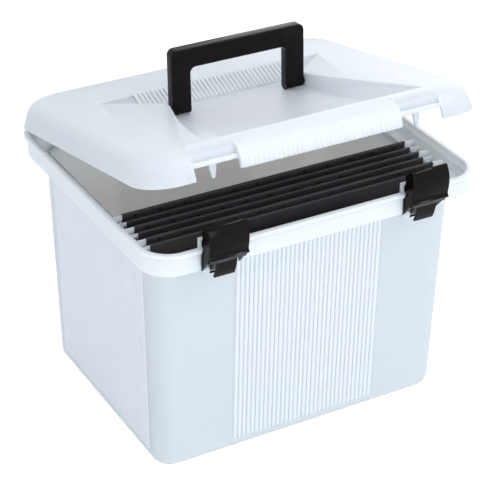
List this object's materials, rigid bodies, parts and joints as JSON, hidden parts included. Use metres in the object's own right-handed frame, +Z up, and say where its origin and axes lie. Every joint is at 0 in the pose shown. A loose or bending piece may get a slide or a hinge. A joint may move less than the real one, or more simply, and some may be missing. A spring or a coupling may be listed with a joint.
{
  "type": "portable file box",
  "caption": "Translucent plastic file box with a hinged lid, folding carry handle, two front latches and hanging folders on side rails.",
  "frame": {"origin": "middle of the flat underside of the tub", "axes": "+X along the width, +Y towards the hinge at the back, +Z up; the latches are on the -Y side"},
  "size_m": [0.343, 0.3136, 0.3497],
  "materials": {
    "tub_polypropylene": "frosted translucent white",
    "lid_polypropylene": "frosted translucent white",
    "black_plastic": "glossy black",
    "black_card": "satin black card",
    "coated_steel": "white plastic coating"
  },
  "bodies": {
    "tub": {"box_shell": "tub_polypropylene"},
    "lid": {"lid_shell": "lid_polypropylene"},
    "handle": {"handle": "black_plastic"},
    "latch_left": {"latch_left": "black_plastic"},
    "latch_right": {"latch_right": "black_plastic"},
    "folder_a": {"folder_a_card": "black_card", "folder_a_front_rod": "coated_steel", "folder_a_rear_rod": "coated_steel"},
    "folder_b": {"folder_b_card": "black_card", "folder_b_front_rod": "coated_steel", "folder_b_rear_rod": "coated_steel"},
    "folder_c": {"folder_c_card": "black_card", "folder_c_front_rod": "coated_steel", "folder_c_rear_rod": "coated_steel"}
  },
  "joints": [
    {"name": "lid_hinge", "type": "hinge", "parent": "tub", "child": "lid", "pos_m": [0, 0.1515, 0.2418], "axis": [-1, 0, 0], "range_deg": [-12, 88]},
    {"name": "handle_pivot", "type": "hinge", "parent": "lid", "child": "handle", "pos_m": [0, 0.01578, 0.29109], "axis": [1, 0, 0], "range_deg": [-9, 81]},
    {"name": "latch_left_pivot", "type": "hinge", "parent": "tub", "child": "latch_left", "pos_m": [-0.10255, -0.1395, 0.2176], "axis": [1, 0, 0], "range_deg": [-4, 115]},
    {"name": "latch_right_pivot", "type": "hinge", "parent": "tub", "child": "latch_right", "pos_m": [0.10255, -0.1395, 0.2176], "axis": [1, 0, 0], "range_deg": [-4, 115]},
    {"name": "folder_a_slide", "type": "slide", "parent": "tub", "child": "folder_a", "axis": [0, 1, 0], "range_m": [-0.005, 0.15]},
    {"name": "folder_b_slide", "type": "slide", "parent": "tub", "child": "folder_b", "axis": [0, 1, 0], "range_m": [-0.005, 0.005]},
    {"name": "folder_c_slide", "type": "slide", "parent": "tub", "child": "folder_c", "axis": [0, 1, 0], "range_m": [-0.009, 0.005]}
  ]
}
